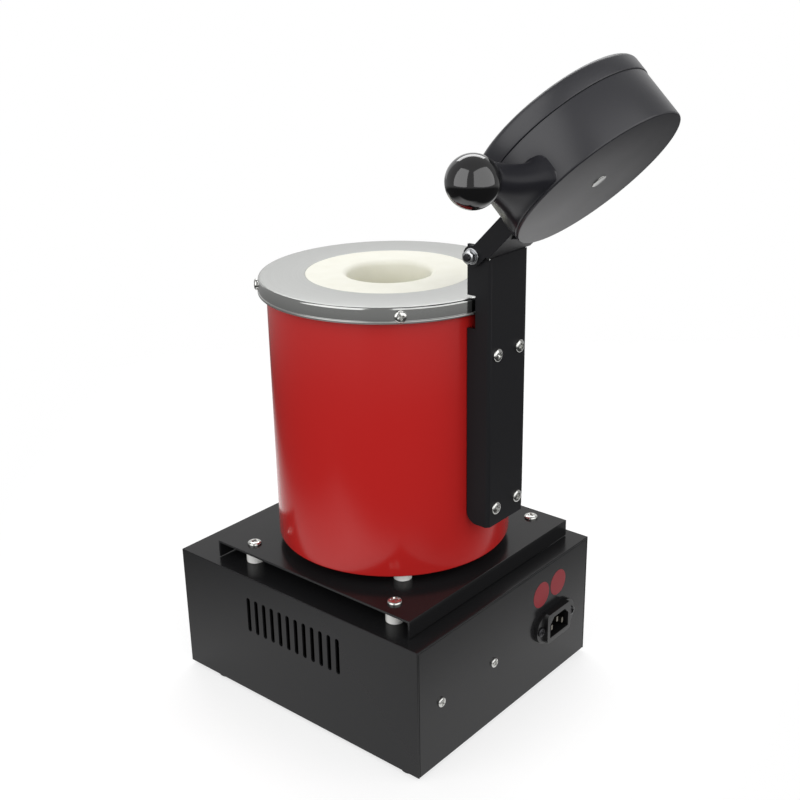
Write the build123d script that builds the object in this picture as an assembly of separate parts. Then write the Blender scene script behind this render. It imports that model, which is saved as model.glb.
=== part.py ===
from build123d import *
import math
import os

# Bench-top electric crucible furnace, lid open. Millimetres, +Z up.
# Origin: on the floor, under the middle of the base. +Y is the side of the hinge and the mains inlet.

# Driving sizes: control base
base_width = 206.0
base_depth = 230.0
base_height = 98.0
base_sheet = 1.5
cover_lip = 12.0
foot_height = 3.0
foot_radius = 8.0
foot_side_inset = 10.0
foot_front_inset = 32.0
foot_rear_inset = 14.0
slot_count = 12
slot_pitch = 8.0
slot_width = 3.6
slot_length = 28.0
slot_centre_height = 67.0

# Driving sizes: raised plate and its spacers
plate_side_inset = 9.5
plate_front_inset = 32.0
plate_rear_inset = 14.0
plate_sheet = 1.5
plate_gap = 12.0
plate_lip_clearance = 0.6
plate_hole_side_inset = 13.0
plate_hole_front_inset = 25.0
plate_hole_rear_inset = 23.5
spacer_radius = 6.5
body_spacer_height = 7.6
body_spacer_inset = 13.2

# Driving sizes: furnace body
axis_y = 9.0
shell_radius = 85.2
shell_sheet = 1.5
body_height = 192.9
ring_overhang = 5.6
ring_sheet = 1.2
ring_skirt = 11.0
ring_screw_below = 6.0
ring_sleeve_radius = 3.6
collar_radius = 58.0
collar_shoulder_gap = 1.2
collar_shoulder_depth = 6.0
collar_depth = 30.0
mouth_radius = 29.4
mouth_round = 4.0
muffle_radius = 36.0
muffle_floor = 10.0
insulation_air_gap = 7.7
insulation_floor = 26.0
coil_turns = 9
coil_wire_radius = 1.4
coil_gap = 0.35
thermocouple_radius = 3.0
thermocouple_tail = 6.0
thermocouple_collar = 4.0
lead_hole_radius = 7.0

# Driving sizes: hinge column
column_half_width = 20.7
column_sheet = 2.0
column_web_behind_shell = 16.1
column_bottom_height = 155.7
column_top_above_hinge = 6.7
column_web_below_hinge = 2.8
column_corner_radius = 8.0
column_ear_radius = 10.2
ring_notch_gap = 0.9
ring_notch_below = 9.4
ring_notch_above = 1.6
column_screw_pitch_x = 24.4
column_sleeve_radius = 4.0
column_screw_heights = (168.2, 277.3)

# Driving sizes: lid
hinge_behind_shell = 3.8
lid_radius = 58.0
lid_thickness = 45.3
lid_shell_depth = 32.4
lid_sheet = 2.0
lid_top_above_hinge = 17.9
lid_closed_gap = 0.6
lid_open_angle = 134.2
lid_rim_overhang = 0.5
lid_rim_wall = 8.4
lid_rim_round = 3.5
rim_spigot = 6.0
arm_sheet = 2.0
arm_side_gap = 0.8
arm_web_height = 9.0
arm_lower_edge = 4.0
arm_end_radius = 6.8
arm_web_start = 8.0
arm_stop_start = 4.5
arm_stop_half_width = 16.0
arm_tongue_half_width = 17.5
arm_tongue_past_middle = 12.0
arm_rise_outside_lid = 4.0
arm_rise_length = 9.0
knob_radius = 15.0
knob_reach = 104.0
knob_below_top = 20.0
knob_flat_radius = 7.5
horn_neck_radius = 9.7
horn_neck_flat = 0.6
horn_waist_back = 6.0
horn_waist_width = 29.5
horn_waist_height = 17.6
horn_waist_corner = 7.0
horn_waist_shift = 5.6
horn_waist_below_top = 13.2
horn_root_share = 0.72
horn_root_width = 54.0
horn_root_height = 17.0
horn_root_corner = 6.0
horn_root_shift = 10.0
horn_root_below_top = 9.2
knob_stud_radius = 3.0
knob_stud_bite = 9.0
lid_screw_radius = 2.5
lid_screw_head_radius = 6.0
lid_screw_head_height = 1.6

# Driving sizes: fasteners
screw_radius = 2.0
screw_head_radius = 5.2
screw_head_height = 2.6
small_head_radius = 3.6
small_head_height = 2.0
column_head_radius = 4.5
column_head_height = 2.2
dome_share = 0.6
screw_end = 1.0
hole_clearance = 0.25
nut_flats = 7.0
nut_height = 3.2
bolt_radius = 2.5
bolt_hex_flats = 8.0
washer_radius = 5.3
washer_sheet = 0.8
bolt_head_height = 3.5
bolt_nut_height = 4.0
bolt_end = 1.5

# Driving sizes: mains inlet, after the usual three-pin appliance inlet
inlet_x = -56.8
inlet_height = 47.0
inlet_screw_pitch = 40.0
inlet_flange_length = 50.0
inlet_flange_height = 24.0
inlet_flange_sheet = 3.0
inlet_collar_length = 31.0
inlet_collar_proud = 3.0
inlet_body_length = 27.0
inlet_body_height = 19.8
inlet_body_depth = 18.0
socket_length = 24.3
socket_height = 16.2
socket_depth = 17.5
socket_chamfer = 5.0
pin_width = 2.0
pin_height = 4.0
pin_pitch = 14.0
pin_row_offset = 4.0
pin_set_back = 2.0
pin_tail = 7.0
inlet_corner = 2.5
sticker_radius = 10.0
sticker_sheet = 0.15
sticker_places = ((-40.5, 75.5), (-62.5, 76.5))

# Driving sizes: what the two rear panel screws hold
sink_x = 48.4
sink_height = 48.0
sink_screw_pitch = 60.0
sink_width = 96.0
sink_tall = 50.0
sink_plate = 5.0
sink_fin_length = 15.0
sink_fin_sheet = 2.0
sink_fin_count = 10
relay_width = 58.0
relay_tall = 45.0
relay_depth = 23.0

# Driving sizes: front panel controls
controller_x = -45.0
controller_height = 52.0
bezel_size = 48.0
bezel_depth = 6.0
bezel_round = 2.0
controller_body = 44.6
controller_depth = 78.0
cutout_size = 45.0
clamp_depth = 10.0
window_width = 38.0
window_tall = 24.0
window_rise = 6.5
window_sheet = 1.6
key_width = 7.0
key_tall = 4.5
key_pitch = 9.6
key_drop = 15.5
key_proud = 1.0
key_length = 3.6
key_travel = 0.5
key_clearance = 0.25
key_edge = 0.4
switch_x = 45.0
switch_height = 52.0
switch_bezel_width = 31.0
switch_bezel_tall = 25.0
switch_bezel_depth = 2.5
switch_body_width = 27.0
switch_body_tall = 21.5
switch_body_depth = 25.0
rocker_radius = 11.2
rocker_top = 6.3
rocker_dip = 1.7
rocker_under = 4.4
rocker_under_width = 14.8
rocker_room_below = 2.0
switch_corner = 2.0
rocker_tall = 16.0
rocker_angle = 9.0
rocker_clearance = 0.4
rocker_pivot_radius = 1.5
rocker_pivot_depth = 3.0
rocker_pivot_bite = 1.2
terminal_length = 60.0
terminal_depth = 20.0
terminal_tall = 16.0
terminal_ways = 4
terminal_hole_radius = 2.5
terminal_hole_depth = 6.0

# Clearances
slip = 0.1
running_gap = 0.05
thread_gap = 0.05
seat_gap = 0.3

# Levels and places worked out from the driving sizes
base_bottom = foot_height
base_top = base_bottom + base_height
plate_under = base_top + plate_gap
plate_top = plate_under + plate_sheet
body_bottom = plate_top + body_spacer_height
ring_top = body_bottom + body_height
shell_top = ring_top - ring_sheet
collar_bottom = shell_top - collar_depth
insulation_bottom = body_bottom + shell_sheet
muffle_bottom = insulation_bottom + insulation_floor
chamber_floor = muffle_bottom + muffle_floor
coil_radius = muffle_radius + coil_gap + coil_wire_radius
insulation_bore_radius = coil_radius + coil_wire_radius + coil_gap
coil_pitch = (collar_bottom - muffle_bottom - 4 * coil_wire_radius) / coil_turns
front_y = -base_depth / 2
rear_y = base_depth / 2
plate_front = front_y + plate_front_inset
plate_rear = rear_y - plate_rear_inset
plate_half_width = base_width / 2 - plate_side_inset
ring_radius = shell_radius + ring_overhang
collar_shoulder_radius = shell_radius - shell_sheet - collar_shoulder_gap
insulation_radius = shell_radius - shell_sheet - insulation_air_gap
column_web_y = axis_y + shell_radius + column_web_behind_shell
hinge_y = axis_y + shell_radius + hinge_behind_shell
hinge_z = ring_top + lid_closed_gap + lid_thickness - lid_top_above_hinge
column_top = hinge_z + column_top_above_hinge
column_web_top = hinge_z - column_web_below_hinge
column_inner = column_half_width - column_sheet
column_edge_y = axis_y + math.sqrt(shell_radius ** 2 - column_inner ** 2) + seat_gap
ring_notch_y = axis_y + math.sqrt(ring_radius ** 2 - column_inner ** 2) + ring_notch_gap
arm_inner = column_half_width + arm_side_gap
arm_outer = arm_inner + arm_sheet
screw_hole = screw_radius + hole_clearance
hinge_axis = Axis((0, hinge_y, hinge_z), (1, 0, 0))
hinge_place = Pos(0, hinge_y, hinge_z) * Rot(0, 90, 0)
body_axis = Pos(0, axis_y, 0)
body_screw_places = [(shell_radius - body_spacer_inset, turn) for turn in (45, 135, 225, 315)]


def save(name, *shapes):
    """One STEP file for one named piece, or for a group of identical separate pieces."""
    solids = [solid for shape in shapes for solid in shape.solids()]
    export_step(Compound(children=solids), "parts/" + name + ".step")


def box_between(low, high):
    """A box given by its two corners."""
    size = [b - a for a, b in zip(low, high)]
    middle = [(a + b) / 2 for a, b in zip(low, high)]
    return Pos(*middle) * Box(*size)


def rod(radius, bottom, top):
    """An upright cylinder from one height to another."""
    return Pos(0, 0, bottom) * Cylinder(radius, top - bottom, align=(Align.CENTER, Align.CENTER, Align.MIN))


def tube(outer_radius, inner_radius, bottom, top):
    """An upright tube from one height to another."""
    return rod(outer_radius, bottom, top) - rod(inner_radius, bottom - 1, top + 1)


def turned(*points):
    """A solid turned about Z from a half outline of radius and height."""
    outline = make_face(Polyline(*[(radius, 0, height) for radius, height in points], close=True))
    return revolve(outline, Axis.Z)


def pan_screw(head_radius, head_height, radius, length):
    """A screw with a domed head. Its seat is at z = 0 and its shank points down."""
    rise = head_height * dome_share
    dome_radius = (head_radius ** 2 + rise ** 2) / (2 * rise)
    head = rod(head_radius, 0, head_height) & Pos(0, 0, head_height - dome_radius) * Sphere(dome_radius)
    return head + rod(radius, -length, 0)


def hex_nut(flats, height, bore_radius):
    """A hexagon nut from z = 0 up."""
    hexagon = RegularPolygon(flats / 2, 6, major_radius=False)
    return extrude(hexagon, height) - rod(bore_radius + thread_gap, -1, height + 1)


def around(shape, radius, turn, height):
    """The shape moved to a radius and angle about the furnace axis."""
    return body_axis * Rot(0, 0, turn) * Pos(radius, 0, height) * shape


def face_rear(x, y, z):
    """A place where the part's own up direction points to the rear."""
    return Pos(x, y, z) * Rot(-90, 0, 0)


def face_front(x, y, z):
    """A place where the part's own up direction points to the front."""
    return Pos(x, y, z) * Rot(90, 0, 0)


def corners(half_width, low_y, high_y):
    """The four corners of a rectangle of holes."""
    return [(x, y) for x in (-half_width, half_width) for y in (low_y, high_y)]


# Control base
plate_holes = corners(
    plate_half_width - plate_hole_side_inset,
    plate_front + plate_hole_front_inset,
    plate_rear - plate_hole_rear_inset,
)
foot_places = corners(base_width / 2 - foot_side_inset, front_y + foot_front_inset, rear_y - foot_rear_inset)
sink_screw_places = [sink_x - sink_screw_pitch / 2, sink_x + sink_screw_pitch / 2]
inlet_screw_places = [inlet_x - inlet_screw_pitch / 2, inlet_x + inlet_screw_pitch / 2]


def make_base_tray():
    """Floor, front panel and rear panel, bent from one sheet."""
    half = base_width / 2 - base_sheet - slip
    top = base_top - base_sheet - slip
    tray = box_between((-half, front_y, base_bottom), (half, rear_y, base_bottom + base_sheet))
    tray += box_between((-half, front_y, base_bottom), (half, front_y + base_sheet, top))
    tray += box_between((-half, rear_y - base_sheet, base_bottom), (half, rear_y, top))
    for x, y in foot_places:
        tray -= Pos(x, y, 0) * rod(screw_hole, base_bottom - 1, base_bottom + base_sheet + 1)
    for x in sink_screw_places:
        tray -= face_rear(x, rear_y, base_bottom + sink_height) * rod(screw_hole, -base_sheet - 1, 1)
    for x in inlet_screw_places:
        tray -= face_rear(x, rear_y, base_bottom + inlet_height) * rod(screw_hole, -base_sheet - 1, 1)
    tray -= Pos(inlet_x, rear_y, base_bottom + inlet_height) * Box(
        inlet_body_length + 2 * slip, 4 * base_sheet, inlet_body_height + 2 * slip
    )
    tray -= Pos(controller_x, front_y, base_bottom + controller_height) * Box(
        cutout_size, 4 * base_sheet, cutout_size
    )
    tray -= Pos(switch_x, front_y, base_bottom + switch_height) * Box(
        switch_body_width + 2 * slip, 4 * base_sheet, switch_body_tall + 2 * slip
    )
    return tray


def make_base_cover():
    """Top and two sides with a lip turned in at the foot of each side, and a row of vents in each."""
    half = base_width / 2
    low = base_bottom
    cover = box_between((-half, front_y, low), (half, rear_y, base_top))
    cover -= box_between(
        (-half + base_sheet, front_y - 1, low - 1), (half - base_sheet, rear_y + 1, base_top - base_sheet)
    )
    lip_low = base_bottom + base_sheet + slip
    lip_end = rear_y - base_sheet - slip
    for side in (-1, 1):
        inner = side * (half - base_sheet - cover_lip)
        outer = side * (half - base_sheet / 2)
        cover += box_between(
            (min(inner, outer), -lip_end, lip_low), (max(inner, outer), lip_end, lip_low + base_sheet)
        )
    slot = Rot(0, 90, 0) * extrude(SlotOverall(slot_length, slot_width), base_width, both=True)
    row_start = -(slot_count - 1) * slot_pitch / 2
    for i in range(slot_count):
        cover -= Pos(0, row_start + i * slot_pitch, base_bottom + slot_centre_height) * slot
    for x, y in foot_places:
        cover -= Pos(x, y, 0) * rod(screw_hole, lip_low - 1, lip_low + base_sheet + 1)
    for x, y in plate_holes:
        cover -= Pos(x, y, 0) * rod(screw_hole, base_top - base_sheet - 1, base_top + 1)
    cover -= body_axis * rod(lead_hole_radius, base_top - base_sheet - 1, base_top + 1)
    return cover


def make_feet():
    """Low rubber feet with a screw hole and a recess that hides the head."""
    foot = tube(foot_radius, screw_hole, 0, foot_height)
    foot -= rod(small_head_radius + hole_clearance, -1, foot_height * 0.6)
    return [Pos(x, y, 0) * foot for x, y in foot_places]


def make_foot_screws():
    """One screw up through each foot, the tray and the cover's lip."""
    length = foot_height * 0.4 + 2 * base_sheet + slip + nut_height + screw_end
    screw = Rot(180, 0, 0) * pan_screw(small_head_radius, foot_height * 0.5, screw_radius, length)
    return [Pos(x, y, foot_height * 0.6) * screw for x, y in foot_places]


def make_foot_nuts():
    """The nuts of the foot screws, on the cover's lips."""
    nut = hex_nut(nut_flats, nut_height, screw_radius)
    return [Pos(x, y, base_bottom + 2 * base_sheet + slip) * nut for x, y in foot_places]


# Mains inlet on the rear panel
# In the inlet's own frame X runs along the row of pins, Y points down and Z points out to the rear.
inlet_place = face_rear(inlet_x, rear_y, base_bottom + inlet_height)
pin_places = (
    (-pin_pitch / 2, pin_row_offset / 2),
    (pin_pitch / 2, pin_row_offset / 2),
    (0.0, -pin_row_offset / 2),
)


def socket_outline():
    """The socket's opening, with its two upper corners cut off."""
    half_length = socket_length / 2
    half_height = socket_height / 2
    return Polygon(
        (-half_length, half_height),
        (half_length, half_height),
        (half_length, -half_height + socket_chamfer),
        (half_length - socket_chamfer, -half_height),
        (-half_length + socket_chamfer, -half_height),
        (-half_length, -half_height + socket_chamfer),
        align=None,
    )


def make_power_inlet():
    """Moulded inlet: eared flange, raised collar, body behind the panel and the socket."""
    flange = extrude(SlotOverall(inlet_flange_length, inlet_flange_height), inlet_flange_sheet)
    top = inlet_flange_sheet + inlet_collar_proud
    collar = Pos(0, 0, inlet_flange_sheet) * extrude(
        RectangleRounded(inlet_collar_length, inlet_flange_height, inlet_corner), inlet_collar_proud
    )
    body = box_between(
        (-inlet_body_length / 2, -inlet_body_height / 2, -inlet_body_depth),
        (inlet_body_length / 2, inlet_body_height / 2, 0.5),
    )
    socket = Pos(0, 0, top - socket_depth) * extrude(socket_outline(), socket_depth + 1, dir=(0, 0, 1))
    inlet = flange + collar + body - socket
    for side in (-1, 1):
        inlet -= Pos(side * inlet_screw_pitch / 2, 0, 0) * rod(screw_hole, -1, inlet_flange_sheet + 1)
    for x, y in pin_places:
        inlet -= Pos(x, y, 0) * Box(pin_width, pin_height, 3 * inlet_body_depth)
    return inlet_place * inlet


def make_inlet_pins():
    """Three flat pins that stand in the socket and run out behind as tabs."""
    top = inlet_flange_sheet + inlet_collar_proud - pin_set_back
    low = -inlet_body_depth - pin_tail
    pins = []
    for x, y in pin_places:
        pin = box_between(
            (x - pin_width / 2, y - pin_height / 2, low), (x + pin_width / 2, y + pin_height / 2, top)
        )
        pins.append(inlet_place * pin)
    return pins


def make_inlet_screws():
    """Two screws through the inlet's ears and the panel."""
    length = inlet_flange_sheet + base_sheet + nut_height + screw_end
    screw = pan_screw(small_head_radius, small_head_height, screw_radius, length)
    y = rear_y + inlet_flange_sheet
    return [face_rear(x, y, base_bottom + inlet_height) * screw for x in inlet_screw_places]


def make_inlet_nuts():
    """The nuts behind the panel."""
    nut = hex_nut(nut_flats, nut_height, screw_radius)
    y = rear_y - base_sheet
    return [face_front(x, y, base_bottom + inlet_height) * nut for x in inlet_screw_places]


def make_stickers():
    """Two plain round stickers above the inlet."""
    disc = rod(sticker_radius, 0, sticker_sheet)
    return [face_rear(x, rear_y, base_bottom + height) * disc for x, height in sticker_places]


# Power electronics on the rear panel


def make_heat_sink():
    """Finned block on the rear panel, fins upright and pointing into the base."""
    back = rear_y - base_sheet
    low = base_bottom + sink_height - sink_tall / 2
    high = low + sink_tall
    sink = box_between(
        (sink_x - sink_width / 2, back - sink_plate, low), (sink_x + sink_width / 2, back, high)
    )
    step = (sink_width - sink_fin_sheet) / (sink_fin_count - 1)
    half_relay = relay_width / 2 + 1.0
    for i in range(sink_fin_count):
        x = sink_x - sink_width / 2 + i * step
        if abs(x + sink_fin_sheet / 2 - sink_x) > half_relay:
            sink += box_between(
                (x, back - sink_plate - sink_fin_length, low), (x + sink_fin_sheet, back - sink_plate, high)
            )
    for x in sink_screw_places:
        sink -= face_rear(x, back, base_bottom + sink_height) * rod(screw_hole, -sink_plate, 1)
    return sink


def make_relay():
    """Solid state relay block, flat on the heat sink."""
    back = rear_y - base_sheet - sink_plate
    low = base_bottom + sink_height - relay_tall / 2
    return box_between(
        (sink_x - relay_width / 2, back - relay_depth, low),
        (sink_x + relay_width / 2, back, low + relay_tall),
    )


def make_rear_panel_screws():
    """The two screws that hold the heat sink to the rear panel."""
    screw = pan_screw(small_head_radius, small_head_height, screw_radius, base_sheet + sink_plate - screw_end)
    return [face_rear(x, rear_y, base_bottom + sink_height) * screw for x in sink_screw_places]


def make_terminal_block():
    """Mains terminal block on the floor of the tray."""
    low = base_bottom + base_sheet
    block = box_between(
        (-terminal_length / 2, -terminal_depth / 2, low),
        (terminal_length / 2, terminal_depth / 2, low + terminal_tall),
    )
    step = terminal_length / terminal_ways
    for i in range(terminal_ways):
        x = -terminal_length / 2 + (i + 0.5) * step
        block -= Pos(x, 0, low + terminal_tall) * rod(terminal_hole_radius, -terminal_hole_depth, 1)
    return block


# Temperature controller in the front panel
# In the controller's own frame Y points up and Z points out to the front.
controller_place = face_front(controller_x, front_y, base_bottom + controller_height)
key_top = bezel_depth + key_proud
key_well_floor = key_top - key_length - key_travel - seat_gap
key_places = [-1.5 * key_pitch + i * key_pitch for i in range(4)]
key_names = ("key_set", "key_shift", "key_down", "key_up")


def make_controller_housing():
    """Square bezel with a window recess and four key wells, and a body behind the panel."""
    bezel = extrude(RectangleRounded(bezel_size, bezel_size, bezel_round), bezel_depth)
    body = box_between(
        (-controller_body / 2, -controller_body / 2, -controller_depth),
        (controller_body / 2, controller_body / 2, 0.5),
    )
    housing = bezel + body
    housing -= box_between(
        (-window_width / 2, window_rise - window_tall / 2, bezel_depth - window_sheet),
        (window_width / 2, window_rise + window_tall / 2, bezel_depth + 1),
    )
    for x in key_places:
        housing -= box_between(
            (x - key_width / 2 - key_clearance, -key_drop - key_tall / 2 - key_clearance, key_well_floor),
            (x + key_width / 2 + key_clearance, -key_drop + key_tall / 2 + key_clearance, bezel_depth + 1),
        )
    return controller_place * housing


def make_controller_window():
    """Dark window over the display, flush in the bezel."""
    window = box_between(
        (-window_width / 2, window_rise - window_tall / 2, bezel_depth - window_sheet),
        (window_width / 2, window_rise + window_tall / 2, bezel_depth),
    )
    return controller_place * window


def make_controller_clamp():
    """Frame that slides over the body and grips the panel from behind."""
    back = -base_sheet
    outer = box_between(
        (-bezel_size / 2, -bezel_size / 2, back - clamp_depth), (bezel_size / 2, bezel_size / 2, back)
    )
    inner = box_between(
        (-controller_body / 2 - slip, -controller_body / 2 - slip, back - clamp_depth - 1),
        (controller_body / 2 + slip, controller_body / 2 + slip, back + 1),
    )
    return controller_place * (outer - inner)


def make_key(x):
    """One rubber key with softened front edges."""
    key = box_between(
        (x - key_width / 2, -key_drop - key_tall / 2, key_top - key_length),
        (x + key_width / 2, -key_drop + key_tall / 2, key_top),
    )
    return controller_place * chamfer(key.edges().group_by(Axis.Z)[-1], key_edge)


# Power switch in the front panel
# In the switch's own frame X runs along the rocker's swing, Y points up and Z points out.
switch_place = face_front(switch_x, front_y, base_bottom + switch_height)


def make_switch_housing():
    """Bezel and body of the switch, with a well for the rocker and two seats for its pivot."""
    bezel = extrude(RectangleRounded(switch_bezel_width, switch_bezel_tall, switch_corner), switch_bezel_depth)
    body = box_between(
        (-switch_body_width / 2, -switch_body_tall / 2, -switch_body_depth),
        (switch_body_width / 2, switch_body_tall / 2, 0.5),
    )
    half = rocker_radius + rocker_clearance
    side = rocker_tall / 2 + rocker_clearance
    floor = -rocker_pivot_depth - rocker_under - rocker_room_below
    well = box_between((-half, -side, floor), (half, side, switch_bezel_depth + 1))
    seat = Rot(90, 0, 0) * Cylinder(rocker_pivot_radius + running_gap, 2 * (side + rocker_pivot_bite + slip))
    return switch_place * (bezel + body - well - Pos(0, 0, -rocker_pivot_depth) * seat)


def make_switch_rocker():
    """Rocker with a shallow V face and ends rounded about its pivot, tipped to its off side."""
    half = math.sqrt(rocker_radius ** 2 - rocker_top ** 2)
    outline = Polygon(
        (-rocker_under_width / 2, -rocker_under),
        (rocker_under_width / 2, -rocker_under),
        (rocker_radius, 0),
        (rocker_radius, rocker_top),
        (half, rocker_top),
        (0, rocker_top - rocker_dip),
        (-half, rocker_top),
        (-rocker_radius, rocker_top),
        (-rocker_radius, 0),
        align=None,
    )
    outline = outline & Circle(rocker_radius)
    rocker = Rot(90, 0, 0) * extrude(outline, rocker_tall / 2, both=True)
    pin_length = rocker_tall + 2 * (rocker_clearance + rocker_pivot_bite)
    pin = Rot(90, 0, 0) * Cylinder(rocker_pivot_radius, pin_length)
    return switch_place * Pos(0, 0, -rocker_pivot_depth) * Rot(0, rocker_angle, 0) * (rocker + pin)


# Raised plate over the base


def make_raised_plate():
    """Plate with a lip turned down at the front and at the rear."""
    half = plate_half_width
    lip_low = base_top + plate_lip_clearance
    plate = box_between((-half, plate_front, lip_low), (half, plate_rear, plate_top))
    plate -= box_between(
        (-half - 1, plate_front + plate_sheet, lip_low - 1),
        (half + 1, plate_rear - plate_sheet, plate_under),
    )
    for x, y in plate_holes:
        plate -= Pos(x, y, 0) * rod(screw_hole, plate_under - 1, plate_top + 1)
    for radius, turn in body_screw_places:
        plate -= around(rod(screw_hole, plate_under - 1, plate_top + 1), radius, turn, 0)
    plate -= body_axis * rod(lead_hole_radius, plate_under - 1, plate_top + 1)
    return plate


def make_plate_spacers():
    """White ceramic spacers between the base and the raised plate."""
    spacer = tube(spacer_radius, screw_hole, base_top, plate_under)
    return [Pos(x, y, 0) * spacer for x, y in plate_holes]


def make_plate_screws():
    """Screws down through the raised plate, its spacers and the cover."""
    length = plate_sheet + plate_gap + base_sheet + nut_height + screw_end
    screw = pan_screw(screw_head_radius, screw_head_height, screw_radius, length)
    return [Pos(x, y, plate_top) * screw for x, y in plate_holes]


def make_plate_nuts():
    """The nuts of the plate screws, inside the cover."""
    nut = hex_nut(nut_flats, nut_height, screw_radius)
    return [Pos(x, y, base_top - base_sheet - nut_height) * nut for x, y in plate_holes]


def make_body_spacers():
    """White ceramic spacers between the raised plate and the furnace shell."""
    spacer = tube(spacer_radius, screw_hole, plate_top, body_bottom)
    return [around(spacer, radius, turn, 0) for radius, turn in body_screw_places]


def make_body_screws():
    """Screws up through the raised plate and the spacers into the shell's floor."""
    length = plate_sheet + body_spacer_height + shell_sheet + nut_height
    screw = Rot(180, 0, 0) * pan_screw(small_head_radius, small_head_height, screw_radius, length)
    return [around(screw, radius, turn, plate_under) for radius, turn in body_screw_places]


def make_body_nuts():
    """The nuts of the body screws, in the bottom of the shell."""
    nut = hex_nut(nut_flats, nut_height, screw_radius)
    return [
        around(nut, radius, turn, body_bottom + shell_sheet) for radius, turn in body_screw_places
    ]


# Furnace body
column_screw_holes = [
    (side * column_screw_pitch_x / 2, height) for height in column_screw_heights for side in (-1, 1)
]
ring_screw_height = ring_top - ring_screw_below
ring_screw_turns = (45, 135, 225, 315)


def radial_place(turn, radius, height):
    """A place on the furnace body where the part's own up direction points outward."""
    return body_axis * Rot(0, 0, turn) * Pos(radius, 0, height) * Rot(0, 90, 0)


def make_furnace_shell():
    """Open drum with a flat floor."""
    drum = rod(shell_radius, body_bottom, shell_top - slip)
    drum -= rod(shell_radius - shell_sheet, body_bottom + shell_sheet, shell_top + 1)
    drum -= rod(thermocouple_radius + hole_clearance, body_bottom - 1, body_bottom + shell_sheet + 1)
    drum = body_axis * drum
    for radius, turn in body_screw_places:
        hole = rod(screw_hole, body_bottom - 1, body_bottom + shell_sheet + 1)
        drum -= around(hole, radius, turn, 0)
    for turn in ring_screw_turns:
        drum -= radial_place(turn, shell_radius, ring_screw_height) * rod(screw_hole, -2 * shell_sheet, 1)
    for x, z in column_screw_holes:
        drum -= face_rear(x, axis_y + shell_radius, z) * rod(screw_hole, -3 * shell_sheet, 1)
    return drum


def make_top_ring():
    """Stainless cap: a flat ring with a skirt that stands round the top of the shell."""
    cap = rod(ring_radius, ring_top - ring_skirt, ring_top)
    cap = fillet(cap.edges().group_by(Axis.Z)[-1], ring_sheet)
    cap -= rod(ring_radius - ring_sheet, ring_top - ring_skirt - 1, ring_top - ring_sheet)
    cap -= rod(collar_radius + slip, ring_top - ring_skirt - 1, ring_top + 1)
    cap = body_axis * cap
    for turn in ring_screw_turns:
        cap -= radial_place(turn, ring_radius, ring_screw_height) * rod(screw_hole, -2 * ring_sheet, 1)
    return cap


def make_ring_spacers():
    """Short threaded sleeves that hold the ring's skirt off the shell."""
    length = ring_radius - ring_sheet - shell_radius - seat_gap
    sleeve = tube(ring_sleeve_radius, screw_radius + slip, 0, length)
    start = shell_radius + seat_gap / 2
    return [radial_place(turn, start, ring_screw_height) * sleeve for turn in ring_screw_turns]


def make_ring_screws():
    """Screws through the skirt, the sleeves and the shell."""
    length = ring_radius - shell_radius + shell_sheet
    screw = pan_screw(small_head_radius, small_head_height, screw_radius, length)
    return [radial_place(turn, ring_radius, ring_screw_height) * screw for turn in ring_screw_turns]


def make_refractory_collar():
    """White cast collar: a shoulder under the ring, a face flush with it and a rounded mouth."""
    shoulder_top = shell_top - slip
    collar = rod(insulation_radius, collar_bottom, shoulder_top)
    collar += rod(collar_shoulder_radius, shoulder_top - collar_shoulder_depth, shoulder_top)
    collar += rod(collar_radius, shoulder_top, ring_top)
    collar -= rod(mouth_radius, collar_bottom - 1, ring_top + 1)
    top_edges = collar.edges().filter_by(GeomType.CIRCLE).group_by(Axis.Z)[-1]
    return body_axis * fillet(top_edges.sort_by(SortBy.RADIUS)[0], mouth_round)


def make_fibre_insulation():
    """Ceramic fibre cup round the chamber, with an air gap to the shell."""
    fibre = rod(insulation_radius, insulation_bottom, collar_bottom)
    fibre -= rod(insulation_bore_radius, muffle_bottom, collar_bottom + 1)
    fibre -= rod(thermocouple_radius + hole_clearance, insulation_bottom - 1, muffle_bottom + 1)
    fibre = body_axis * fibre
    for radius, turn in body_screw_places:
        pocket = rod(nut_flats * 0.7, insulation_bottom - 1, insulation_bottom + nut_height + 1.5)
        fibre -= around(pocket, radius, turn, 0)
    return fibre


def make_heating_muffle():
    """Ceramic pot that lines the chamber."""
    pot = rod(muffle_radius, muffle_bottom, collar_bottom)
    pot -= rod(mouth_radius, chamber_floor, collar_bottom + 1)
    return body_axis * pot


def make_heating_coil():
    """Resistance wire wound round the muffle as one helix."""
    path = Helix(coil_pitch, coil_pitch * coil_turns, coil_radius)
    section = Plane(origin=path @ 0, z_dir=path % 0) * RegularPolygon(coil_wire_radius, 6)
    wire = sweep(section, path=path, is_frenet=True)
    return body_axis * Pos(0, 0, muffle_bottom + 2 * coil_wire_radius) * wire


def make_thermocouple():
    """Metal sheath up through the floor to the muffle, with a collar under the shell."""
    sheath = rod(thermocouple_radius, body_bottom - thermocouple_tail, muffle_bottom - seat_gap)
    sheath += rod(2 * thermocouple_radius, body_bottom - thermocouple_collar, body_bottom)
    return body_axis * sheath


# Hinge column behind the furnace body


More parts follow.
